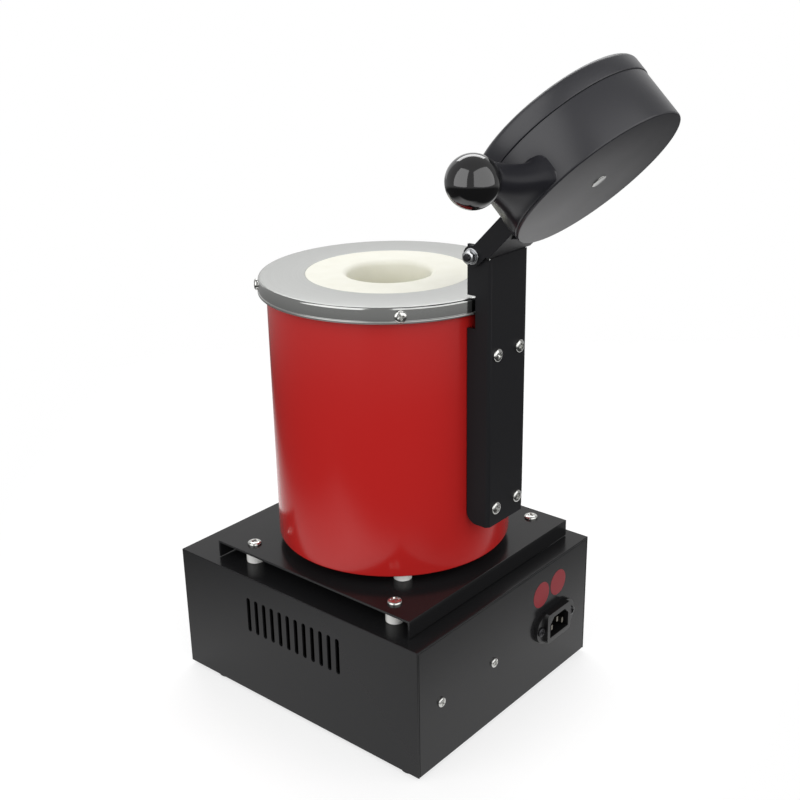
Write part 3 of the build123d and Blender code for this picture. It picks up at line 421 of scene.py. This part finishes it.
# Stickers: two plain round red labels, punched from vinyl film and stuck to the rear panel over the
# inlet. The film is thin enough that the black shows through.
vinyl = material("red_vinyl_film", Base_Color=linear("#842a30"), Roughness=0.38, Specular_IOR_Level=0.15)
sticker_outline = ((0, 0.15), (9.9, 0.15), (10.0, 0.05), (10.0, 0.0), (0, 0.0))
sticker_places = ((-40.5, 78.5), (-62.5, 79.5))
stickers = mesh_from(
    "sticker_pair",
    *[aimed(turned(sticker_outline), (x, rear_y, z), NORTH, EAST) for x, z in sticker_places],
    finish=vinyl,
)
place_on(stickers, "furnace", "round_stickers")


# Rear panel screws: two of the small nickel-plated ones, driven in from outside. They hold the finned
# aluminium block with the relay on it, inside the base.
rear_seats = [((x, rear_y, 51.0), NORTH, EAST) for x in (18.4, 78.4)]
screws("rear_screw_pair", "rear_panel_screws", (3.6, 2.0), 5.5, rear_seats)


# Temperature controller and power switch: moulded plastic, snapped into the front panel from outside. The
# controller has a smoked window over its digits and four rubber keys; the switch has one polished rocker.
window_film = material(
    "smoked_window", Base_Color=linear("#0c0708"), Roughness=0.08, Coat_Weight=0.5, Coat_Roughness=0.03
)

# Silicone rubber keys: mid grey and matt.
key_rubber = material("key_rubber", Base_Color=linear("#5a5b5e"), Roughness=0.6)

# Polished black plastic, of the rocker and the ball knob: deep black under a hard wet gloss.
gloss_plastic = material(
    "polished_black_plastic", Base_Color=linear("#0b0b0c"), Roughness=0.08, Specular_IOR_Level=0.95
)
eased("controller_bezel", "controller_housing", black_moulding, width=0.5, least=3.0)
eased("controller_display", "controller_window", window_film, width=0.3, least=3.0)
for node in ("key_set", "key_shift", "key_down", "key_up"):
    eased(node + "_cap", node, key_rubber, width=0.25, least=1.5, body=node)
eased("switch_bezel", "switch_housing", black_moulding, width=0.5, least=3.0)
eased("rocker_cap", "switch_rocker", gloss_plastic, width=0.4, least=3.0, body="rocker")


# Raised plate: a heat shield of the same black sheet with both ends folded down, held off the base by
# four white porcelain spacers, with a screw down through each. Four more carry the body over it.
base_top, plate_under, plate_top, body_bottom = 101.0, 113.0, 114.5, 122.1
axis_y, spacer_circle = 9.0, 72.0
eased("heat_shield", "raised_plate", black_paint, width=0.4, least=20.0)
plate_places = [(x, y) for x in (-80.5, 80.5) for y in (-58.0, 77.5)]
plate_seats = [((x, y, plate_top), UP, EAST) for x, y in plate_places]
screws("plate_screw_set", "plate_screws", (5.2, 2.6), 19.2, plate_seats)

# Glazed porcelain: white, smooth and glossy under its clear glaze.
porcelain = material(
    "glazed_porcelain", Base_Color=linear("#fbfaf7"), Roughness=0.22, Coat_Weight=0.4
)


def spacers(name, node, bottom, top, places):
    """Spacers at places: a tube of 6.5 mm radius with 0.6 mm rounds on its ends, turned once round."""
    bore, radius = 2.25, 6.5
    outline = rounded(
        ((bore, bottom), (radius, bottom), (radius, top), (bore, top)), (0.2, 0.6, 0.6, 0.2), closed=True
    )
    tubes = mesh_from(name, *[turned(outline, centre=place) for place in places], finish=porcelain)
    return place_on(tubes, "furnace", node)


body_turns = np.radians((45, 135, 225, 315))
body_places = [
    (spacer_circle * math.cos(turn), axis_y + spacer_circle * math.sin(turn)) for turn in body_turns
]
body_seats = [((x, y, plate_under), -UP, EAST) for x, y in body_places]
spacers("plate_spacer_set", "plate_spacers", base_top, plate_under, plate_places)
spacers("body_spacer_set", "body_spacers", plate_top, body_bottom, body_places)
screws("body_screw_set", "body_screws", (3.6, 2.0), 13.8, body_seats)


# Furnace shell: a drum rolled from 1.5 mm sheet steel with a pressed floor, stoved in bright red enamel.
# It stands on four of the porcelain spacers and holds the chamber.
ring_top, shell_radius, shell_sheet = 315.0, 85.2, 1.5
shell_top, shell_inner = ring_top - 1.3, shell_radius - shell_sheet
body_axis = (0, axis_y)

# Stoved red enamel: glossy and even, so it carries the softboxes as clear upright bands.
red_paint = painted("stoved_red_enamel", "#b4211f", 0.19, 3.0, 0.006, specular=0.4)
drum_outline = rounded(
    ((0, body_bottom), (shell_radius, body_bottom), (shell_radius, shell_top), (shell_inner, shell_top),
     (shell_inner, body_bottom + shell_sheet), (0, body_bottom + shell_sheet)),
    (0, 1.2, 0.2, 0.2, 0.5, 0),
)
drum = mesh_from("red_drum", turned(drum_outline, 240, body_axis), finish=red_paint)
place_on(drum, "furnace", "furnace_shell")


# Top ring: a spun stainless cap round the mouth. Its skirt stands off the drum on four sleeves and is
# hemmed at the foot; four screws go through it.
ring_radius, ring_sheet, ring_mouth = 90.8, 1.2, 58.1
skirt, hem = ring_radius - 0.4, ring_radius + 0.2
hem_top, hem_foot = ring_top - 9.5, ring_top - 11.0

# Spun stainless: a soft mirror with fine rings about the axis, left by the tool. They are under 0.1 mm
# apart and too fine to show, so they are drawn at 1.2 mm.
steel = material("spun_stainless", Base_Color=linear("#b0b1af"), Metallic=1.0)
steel_place = add(steel.node_tree, "ShaderNodeTexCoord", {}).outputs["Object"]
steel_flat = add(
    steel.node_tree, "ShaderNodeMapping",
    {"Vector": steel_place, "Location": (0, -axis_y / 1000, 0), "Scale": (1, 1, 0)},
)
steel_reach = add(
    steel.node_tree, "ShaderNodeVectorMath", {0: steel_flat.outputs["Vector"]}, operation="LENGTH"
)
steel_lines = add(
    steel.node_tree, "ShaderNodeTexNoise",
    {"W": steel_reach.outputs["Value"], "Scale": 1000 / 1.2, "Detail": 4.0}, noise_dimensions="1D",
)
steel_gloss = add(
    steel.node_tree, "ShaderNodeMapRange",
    {"Value": steel_lines.outputs["Fac"], "To Min": 0.28, "To Max": 0.42},
)
feed(steel, "Roughness", steel_gloss.outputs["Result"])
ring_outline = rounded(
    ((ring_mouth, ring_top), (skirt, ring_top), (skirt, hem_top + 0.5), (hem, hem_top), (hem, hem_foot),
     (skirt - ring_sheet, hem_foot), (skirt - ring_sheet, ring_top - ring_sheet),
     (ring_mouth, ring_top - ring_sheet)),
    (0.15, 1.8, 0.3, 0.6, 0.6, 0.5, 0.3, 0.15), steps=8, closed=True,
)
ring = mesh_from("top_ring_cap", turned(ring_outline, 240, body_axis), finish=steel)


def face_centres(made):
    """The middle of each of a piece's faces, in mm."""
    centres = np.empty(3 * len(made.data.polygons))
    made.data.polygons.foreach_get("center", centres)
    return centres.reshape(-1, 3) * 1000


# The skirt is buffed after spinning: a clear mirror, so it shows the dark of the room below the lights.
buffed = material("buffed_stainless", Base_Color=linear("#a9aaa8"), Metallic=1.0, Roughness=0.11)
ring.data.materials.append(buffed)
buffed_top, buffed_foot = ring_top - 0.35, ring_top - 9.2
heights = face_centres(ring)[:, 2]
skirt_faces = (heights < buffed_top) & (heights > buffed_foot)
ring.data.polygons.foreach_set("material_index", skirt_faces.astype(int))
place_on(ring, "furnace", "top_ring")
ring_ways = [np.array((math.cos(turn), math.sin(turn), 0)) for turn in body_turns]
ring_seats = [(way * ring_radius + (0, axis_y, ring_top - 6.0), way, UP) for way in ring_ways]
screws("ring_screw_set", "ring_screws", (4.1, 2.5), 7.0, ring_seats)


# Mouth and chamber: a collar cast in white refractory cement, trowelled level with the ring, over a
# fired ceramic pot that lines the chamber.
mouth, lip_radius, flange_radius, collar_radius = 29.4, 58.0, 82.5, 76.0
flange_top, flange_bottom, collar_bottom = 313.7, 307.7, 283.8
pot_radius, pot_floor, pot_bottom = 36.0, 159.6, 149.6

# Cast refractory: chalk white and gritty, with faint cream patches. Down in the chamber it turns a darker
# cream, which is painted shade for the deep mouth. The Mix nodes' socket 0 is the factor, 6 and 7 are the
# two colours.
cement = material("cast_refractory", Base_Color=linear("#f1f0e4"), Roughness=0.85)
cement_tree = cement.node_tree
cement_place = add(cement_tree, "ShaderNodeTexCoord", {}).outputs["Object"]
cement_cloud = add(
    cement_tree, "ShaderNodeTexNoise", {"Vector": cement_place, "Scale": 1000 / 14, "Detail": 5.0}
)
cement_height = add(cement_tree, "ShaderNodeSeparateXYZ", {"Vector": cement_place}).outputs["Z"]
# Painted shade: the colour turns a darker cream from the ring's top down into the chamber.
mouth_shade_depth = add(
    cement_tree, "ShaderNodeMapRange", {"Value": cement_height, "From Min": 0.315, "From Max": 0.27}
)
cement_mouth_shade = add(
    cement_tree, "ShaderNodeMix",
    {0: mouth_shade_depth.outputs["Result"], 6: linear("#f2f1e6"), 7: linear("#e3e1cb")}, data_type="RGBA",
)
cement_patch = add(
    cement_tree, "ShaderNodeMapRange",
    {"Value": cement_cloud.outputs["Fac"], "From Min": 0.35, "From Max": 0.7, "To Max": 0.35},
)
cement_mix = add(
    cement_tree, "ShaderNodeMix",
    {0: cement_patch.outputs["Result"], 6: cement_mouth_shade.outputs[2], 7: linear("#e6e4d4")}, data_type="RGBA",
)
feed(cement, "Base Color", cement_mix.outputs[2])
grained(cement, 1.6, 0.12, detail=3.0, strength=0.7)
collar_outline = rounded(
    ((mouth, collar_bottom), (mouth, ring_top), (lip_radius, ring_top), (lip_radius, flange_top),
     (flange_radius, flange_top), (flange_radius, flange_bottom), (collar_radius, flange_bottom),
     (collar_radius, collar_bottom)),
    (0.3, 4.0, 0.3, 0.3, 0.5, 0.5, 0.5, 0.5), steps=8, closed=True,
)
collar = mesh_from("mouth_collar", turned(collar_outline, 200, body_axis), finish=cement)
place_on(collar, "furnace", "refractory_collar")
pot_outline = rounded(
    ((0, pot_bottom), (pot_radius, pot_bottom), (pot_radius, collar_bottom), (mouth, collar_bottom),
     (mouth, pot_floor), (0, pot_floor)),
    (0, 1, 0.5, 0.3, 3.0, 0),
)
pot = mesh_from("chamber_pot", turned(pot_outline, 160, body_axis), finish=cement)
place_on(pot, "furnace", "heating_muffle")


# Hinge column: a channel folded from 2 mm sheet, black as the base, bolted to the drum by four screws
# through sleeves. Its two ears carry the hinge bolt.
column_half_width, column_rear = 20.7, 110.3

# Satin black enamel: as the base's, but duller and a little lighter.
hinge_paint = painted("satin_black_enamel", "#1c1c1e", 0.42, 2.5, 0.01, specular=0.13)
column = eased(
    "hinge_channel", "hinge_column", hinge_paint, width=0.5, least=12.0, fold=2.4,
    fold_at=(column_half_width, column_rear),
)

# The back sheet's top edge, whose corners all lie between edge_low and edge_high, is drawn slanting up to
# its outer side, by 2.1 mm, until it all but meets the open arm, so no light shows between them. These are
# in metres.
edge_low, edge_high = 0.3396, 0.3403
slant_start, slant_run, slant_rise = 0.1079, 0.0024, 0.0021
corners = np.empty(3 * len(column.data.vertices))
column.data.vertices.foreach_get("co", corners)
corners = corners.reshape(-1, 3)
on_edge = (corners[:, 2] > edge_low) & (corners[:, 2] < edge_high)
corners[:, 2] += on_edge * slant_rise * np.clip((corners[:, 1] - slant_start) / slant_run, 0, 1)
column.data.vertices.foreach_set("co", corners.ravel())
column.data.update()
column_seats = [((x, column_rear, z), NORTH, EAST) for z in (168.2, 277.3) for x in (-12.2, 12.2)]
screws("column_screw_set", "column_screws", (4.5, 2.2), 22.0, column_seats)


# Hinge bolt: blackened steel with a hexagon head at one end; a bright zinc-plated lock nut at the other,
# with bright washers under both and blackened ones between the ears and the arm.
hinge_y, hinge_z = 98.0, 343.0
bolt_radius, bolt_end, bolt_seat = 2.5, 29.9, 24.4
hexagon_flats, head_height, nut_height = 8.0, 3.5, 4.0

# Zinc plate: a clean blue-white metal, less bright than the nickel.
zinc = material("zinc_plate", Base_Color=linear("#b9babc"), Metallic=1.0, Roughness=0.24)


def hexagon_grid(flats, low, high, bore):
    """A hexagon about z. Its radius at each turn is the half flats over the cosine of the turn from the
    nearest flat, and a 30 degree cone takes off the corners at both ends."""
    angle = np.linspace(0, 2 * np.pi, 97)
    from_flat = (angle + np.pi / 6) % (np.pi / 3) - np.pi / 6
    outer = flats / 2 / np.cos(from_flat)
    crown = np.full_like(outer, flats * 0.475)
    hole = np.full_like(outer, bore)
    drop = (outer - crown) * math.tan(math.radians(30))
    foot = np.full_like(outer, low)
    top = np.full_like(outer, high)
    radius = np.stack((hole, crown, outer, outer, crown, hole, hole))
    height = np.stack((foot, foot, low + drop, high - drop, top, top, foot))
    return np.stack((radius * np.cos(angle), radius * np.sin(angle), height), -1)


def hinge_aim(grid):
    """A grid about z laid along the hinge, its own z towards +X."""
    return aimed(grid, (0, hinge_y, hinge_z), EAST, NORTH)


def washer(low, thick):
    """A flat ring with softened rims, from the height low."""
    inner, outer = 2.55, 5.3
    corners = ((inner, low), (outer, low), (outer, low + thick), (inner, low + thick))
    return turned(rounded(corners, 0.15, closed=True))


bolt_line = rounded(
    ((0, bolt_end), (bolt_radius - 0.3, bolt_end), (bolt_radius, bolt_end - 0.4), (bolt_radius, -bolt_seat),
     (0, -bolt_seat)),
    (0, 0.2, 0.2, 0, 0),
)
no_bore = 0.01
bolt_hexagon = hexagon_grid(hexagon_flats, -bolt_seat - head_height, -bolt_seat, no_bore)
bolt = mesh_from("hinge_bolt_body", hinge_aim(turned(bolt_line)), hinge_aim(bolt_hexagon), finish=oxide)
place_on(bolt, "furnace", "hinge_bolt")
nut_hexagon = hexagon_grid(hexagon_flats, bolt_seat, bolt_seat + nut_height, bolt_radius)
lock_nut = mesh_from("hinge_lock_nut", hinge_aim(nut_hexagon), finish=zinc)
place_on(lock_nut, "furnace", "hinge_nut")

# Each washer's start along the hinge and its thickness; those within 22.5 mm of the middle lie between the
# ears and the arm.
washer_places = ((23.6, 0.8), (-24.4, 0.8), (20.8, 0.6), (-21.4, 0.6))
between_ears = 22.5
washers = mesh_from(
    "hinge_washer_set", *[hinge_aim(washer(low, thick)) for low, thick in washer_places], finish=zinc
)
washers.data.materials.append(oxide)
from_middle = np.abs(face_centres(washers)[:, 0])
washers.data.polygons.foreach_set("material_index", (from_middle < between_ears).astype(int))
place_on(washers, "furnace", "hinge_washers")


# Lid arm: a channel of 2 mm sheet from the hinge to the lid, with a tongue on into the lid. It is painted
# as the column is.
eased("lid_arm_channel", "lid_arm", hinge_paint, width=1.0, least=12.0, body="lid")


# Lid: a cast cover with the horn for the knob, a separate rim ring under it, and a plug of ceramic fibre.
# All of it is drawn shut over the mouth and swung back about the hinge.
lid_top, lid_seam, lid_bottom = 360.9, 328.5, 315.6
lid_radius, lid_sheet, rim_radius, rim_lip = 58.0, 2.0, 58.5, 6.0
open_turn = math.radians(-134.2)
pivot = np.array((0, hinge_y, hinge_z))
swing = np.array(
    (
        (1, 0, 0),
        (0, math.cos(open_turn), -math.sin(open_turn)),
        (0, math.sin(open_turn), math.cos(open_turn)),
    )
)


def opened(grid):
    """A grid drawn with the lid shut, turned back about the hinge."""
    return (grid - pivot) @ swing.T + pivot


# Hammered paint on the cover and the rim: grey-black, satin, with a shallow beaten skin.
lid_paint = painted("hammered_grey_black", "#2a2a2e", 0.36, 2.2, 0.03, specular=0.5)
cup_outline = rounded(
    ((0, lid_top), (lid_radius, lid_top), (lid_radius, lid_seam), (lid_radius - lid_sheet, lid_seam),
     (lid_radius - lid_sheet, lid_top - lid_sheet), (0, lid_top - lid_sheet)),
    (0, 1.2, 0.6, 0.3, 0.5, 0),
)

# The distance of the horn's root, waist and neck from the body's axis, and at each of the three its half
# width, half height, shift towards the hinge, depth below the lid's top and exponent.
root_x, waist_x, neck_x = 46.0, 68.5, 91.0
horn_values = (
    (26.5, 14.7, 9.7), (8.3, 8.8, 9.7), (9.5, 5.6, 0.0), (8.9, 13.2, 20.0), (4.4, 3.2, 2.0)
)
horn_start, horn_round, horn_under_top = 40.0, 1.2, 1.4
fillet, fillet_reach = 2.6, 2.2


def horn_grid():
    """Rows are superellipses across X, from inside the cup to the neck; half sizes, middle and exponent
    each follow a parabola through root, waist and neck. Off the wall the rim swells by an exponential
    fillet, at the neck a quarter circle rounds the end off, and the top stays under the lid's own."""
    round_start = neck_x - horn_round
    end = neck_x - horn_round * (1 - np.sin(np.linspace(0.3, 1.57, 5)))
    reach = np.concatenate((np.linspace(horn_start, round_start, 60), end))
    parabola = [np.polyfit((root_x, waist_x, neck_x), values, 2) for values in horn_values]
    half_wide, half_tall, shift, drop, power = [np.polyval(curve, reach)[:, None] for curve in parabola]
    turn = np.linspace(0, 2 * np.pi, 129)[None, :]
    wave_y = np.sign(np.cos(turn)) * np.abs(np.cos(turn)) ** (2 / power)
    wave_z = np.sign(np.sin(turn)) * np.abs(np.sin(turn)) ** (2 / power)
    y = shift + half_wide * wave_y
    off_wall = np.clip(reach[:, None] - np.sqrt(np.clip(lid_radius ** 2 - y ** 2, 0, None)), 0, None)
    swell = fillet * np.exp(-off_wall / fillet_reach)
    ease = np.clip((reach - neck_x + horn_round) / horn_round, 0, 1)[:, None]
    round_off = -horn_round * (1 - np.sqrt(1 - ease ** 2))
    y = shift + (half_wide + swell + round_off) * wave_y
    z = lid_top - drop + (half_tall + swell + round_off) * wave_z
    z = np.minimum(z, lid_top - horn_under_top)
    rows = np.stack((reach[:, None] + 0 * y, y, z), -1)
    hubs = [row * (1, 0, 0) + row.mean(0) * (0, 1, 1) for row in (rows[0], rows[-1])]
    return np.concatenate((hubs[:1], rows, hubs[1:])) + (0, axis_y, 0)


cup = mesh_from(
    "lid_cup", opened(turned(cup_outline, 240, body_axis)), opened(horn_grid()), finish=lid_paint
)

# The horn's paint is a copy of the lid's with a smoother skin, a darker colour and a weaker reflection; the
# darker colour and weaker reflection are painted shade on the horn. Its faces are those that lie off the
# cup's wall when the lid is shut.
# Painted shade: the horn is drawn darker than the rest of the same cast cover.
horn_shade_paint = painted("smooth_shaded_grey_black", "#222226", 0.34, 3.0, 0.008, specular=0.15)
cup.data.materials.append(horn_shade_paint)
shut = (face_centres(cup) - pivot) @ swing + pivot
horn_shade_faces = np.hypot(shut[:, 0], shut[:, 1] - axis_y) > lid_radius + 0.3
cup.data.polygons.foreach_set("material_index", horn_shade_faces.astype(int))
place_on(cup, "lid", "lid_shell")
rim_inner, rim_lip_inner, rim_lip_top = 50.1, 55.9, lid_seam + rim_lip
rim_outline = rounded(
    ((rim_inner, lid_bottom), (rim_radius, lid_bottom), (rim_radius, lid_seam), (rim_lip_inner, lid_seam),
     (rim_lip_inner, rim_lip_top), (rim_inner, rim_lip_top)),
    (0.4, 3.5, 0.6, 0, 0.3, 0.3), closed=True,
)
rim = mesh_from("lid_rim_ring", opened(turned(rim_outline, 240, body_axis)), finish=lid_paint)
place_on(rim, "lid", "lid_rim")

# Pressed ceramic fibre: a soft matt off-white.
fibre = material("pressed_ceramic_fibre", Base_Color=linear("#ecebe2"), Roughness=0.95)
plug_radius, plug_wide, plug_top = 50.0, 55.7, lid_top - 5.0
plug_outline = rounded(
    ((0, lid_bottom), (plug_radius, lid_bottom), (plug_radius, rim_lip_top), (plug_wide, rim_lip_top),
     (plug_wide, plug_top), (0, plug_top)),
    (0, 1.0, 0.2, 0.2, 1, 0),
)
plug = mesh_from("lid_fibre_plug", opened(turned(plug_outline, 160, body_axis)), finish=fibre)
place_on(plug, "lid", "lid_insulation")
button_radius, button_height, button_shank, button_length = 5.1, 0.5, 2.5, 8.6
button_outline = rounded(
    ((0, lid_top + button_height), (button_radius, lid_top + button_height), (button_radius, lid_top),
     (button_shank, lid_top), (button_shank, lid_top - button_length), (0, lid_top - button_length)),
    (0, 0.4, 0.1, 0, 0.3, 0),
)
button = mesh_from("lid_middle_screw", opened(turned(button_outline, 72, body_axis)), finish=buffed)
place_on(button, "lid", "lid_screw")


# Ball knob: black phenolic, moulded with a flat where it meets the horn and polished all over. It is
# screwed on a steel stud that stands out of the horn.
knob_reach, knob_z = 104.0, lid_top - 20.0
ball_radius, ball_flat, ball_bore, ball_bore_depth = 15.0, 7.5, 3.1, 9.0
flat_turn = math.pi - math.asin(ball_flat / ball_radius)
ball_turn = np.linspace(0.0, flat_turn, 60)
ball_arc = ball_radius * np.stack((np.sin(ball_turn), np.cos(ball_turn)), -1)
ball_back = ball_radius * math.cos(flat_turn)
bore_end = ball_back + ball_bore_depth
ball_outline = np.concatenate((ball_arc, ((ball_bore, ball_back), (ball_bore, bore_end), (0, bore_end))))
ball_grid = aimed(turned(ball_outline, 128), (knob_reach, axis_y, knob_z), EAST, NORTH)
ball = mesh_from("ball_knob_body", opened(ball_grid), finish=gloss_plastic)
place_on(ball, "lid", "ball_knob")


# What stays as the CAD has it, inside or hard to see: each gets the finish of its real stuff. Plain zinc
# steel is dull, resistance wire is scaled brown-black, extruded aluminium is pale and satin, and the
# connector's brass pins are nickelled, with their colour drawn dark grey as painted shade for the inside
# of the socket.
dull_steel = material("plain_zinc_steel", Base_Color=linear("#8f9092"), Metallic=1.0, Roughness=0.38)
wire = material("oxidised_resistance_wire", Base_Color=linear("#4a4642"), Metallic=1.0, Roughness=0.6)
mill = material("extruded_aluminium", Base_Color=linear("#b4b6ba"), Metallic=1.0, Roughness=0.4)
cream = material("moulded_cream_plastic", Base_Color=linear("#cfc9b4"), Roughness=0.5)
# Painted shade: the pins' dark grey colour stands for the shade inside the socket.
pin_metal_shaded = material("nickelled_brass_shaded", Base_Color=linear("#77736a"), Metallic=1.0, Roughness=0.35)
finishes = {
    "foot_nuts": dull_steel, "inlet_nuts": dull_steel, "plate_nuts": dull_steel, "body_nuts": dull_steel,
    "column_nuts": dull_steel, "lid_nut": dull_steel, "ring_spacers": dull_steel,
    "column_spacers": dull_steel, "thermocouple": dull_steel, "knob_stud": dull_steel,
    "heating_coil": wire, "fibre_insulation": fibre, "heat_sink": mill, "terminal_block": cream,
    "solid_state_relay": black_moulding, "controller_clamp": black_moulding, "inlet_pins": pin_metal_shaded,
}
for node, finish in finishes.items():
    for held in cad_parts[node].material_slots:
        held.material = finish
